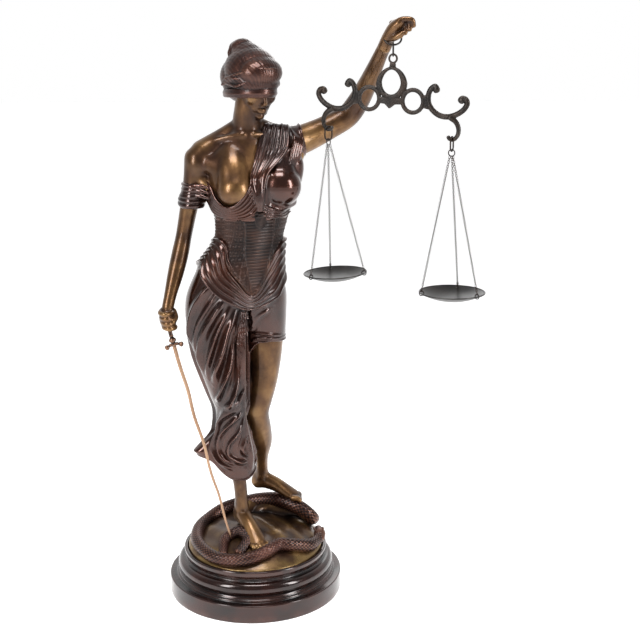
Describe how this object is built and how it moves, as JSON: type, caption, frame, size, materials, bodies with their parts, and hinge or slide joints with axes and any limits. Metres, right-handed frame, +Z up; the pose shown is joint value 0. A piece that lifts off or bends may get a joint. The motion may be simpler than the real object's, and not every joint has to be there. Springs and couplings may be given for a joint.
{
  "type": "lady justice statue",
  "caption": "Blindfolded bronze woman in a draped gown on a round plinth, sword lowered in one hand, hanging balance with two pans in the other.",
  "frame": {"origin": "centre of the plinth's underside", "axes": "+Z up, -Y towards the picture's camera, +X towards the hanging balance"},
  "size_m": [0.6367, 0.3862, 1.1862],
  "materials": {
    "plinth": "very dark brown polished patina with reddish mottling",
    "bronze": "glossy golden brown bronze skin, dark chocolate cloth and hair, scaled purple brown serpent",
    "blade": "satin copper gold blade with a dark hilt",
    "iron": "dark grey brown casting, worn grey at the edges",
    "chain": "dark fine chain with coppery clasps",
    "pan": "dark grey satin metal"
  },
  "bodies": {
    "root": {"balance_beam": "iron", "figure": "bronze", "hand_ring": "iron", "hanger_link": "iron", "left_chain_1": "chain", "left_chain_2": "chain", "left_chain_3": "chain", "left_chain_ring": "chain", "left_clasp_1": "chain", "left_clasp_2": "chain", "left_clasp_3": "chain", "left_hook_ring": "iron", "left_pan": "pan", "plinth": "plinth", "right_chain_1": "chain", "right_chain_2": "chain", "right_chain_3": "chain", "right_chain_ring": "chain", "right_clasp_1": "chain", "right_clasp_2": "chain", "right_clasp_3": "chain", "right_hook_ring": "iron", "right_pan": "pan", "sword": "blade"}
  },
  "joints": []
}
